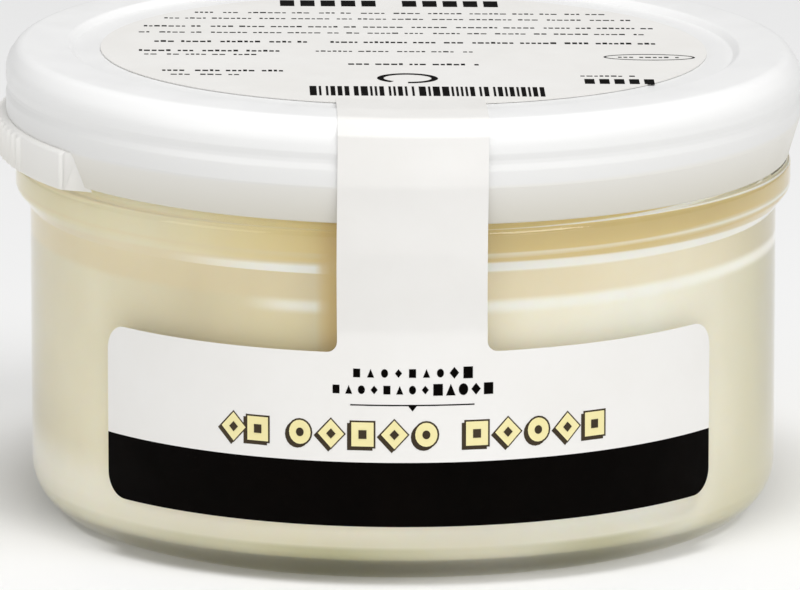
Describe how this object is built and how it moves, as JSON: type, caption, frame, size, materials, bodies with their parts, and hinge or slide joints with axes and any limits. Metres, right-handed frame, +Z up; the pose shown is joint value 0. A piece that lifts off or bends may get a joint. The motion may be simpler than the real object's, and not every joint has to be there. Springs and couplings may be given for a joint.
{
  "type": "jar of panna cotta",
  "caption": "Squat round clear glass jar of pale cream panna cotta with a white push-on lid, a ribbed tear tab and a paper label over the lid's rim.",
  "frame": {"origin": "centre of the jar's base, on the plane it stands on", "axes": "+Z up along the jar's axis, -Y towards the label on the front, +X to the right of the label"},
  "size_m": [0.0776, 0.0772, 0.0458],
  "materials": {
    "clear_glass": "clear, smooth, very slightly green glass",
    "set_cream": "smooth, moist set cream, slightly translucent",
    "white_lid": "white satin to glossy moulded plastic",
    "label_paper": "warm white smooth label paper with fields of black and fine bars as print"
  },
  "bodies": {
    "root": {"jar": "clear_glass", "panna_cotta": "set_cream", "lid": "white_lid", "label": "label_paper"}
  },
  "joints": []
}
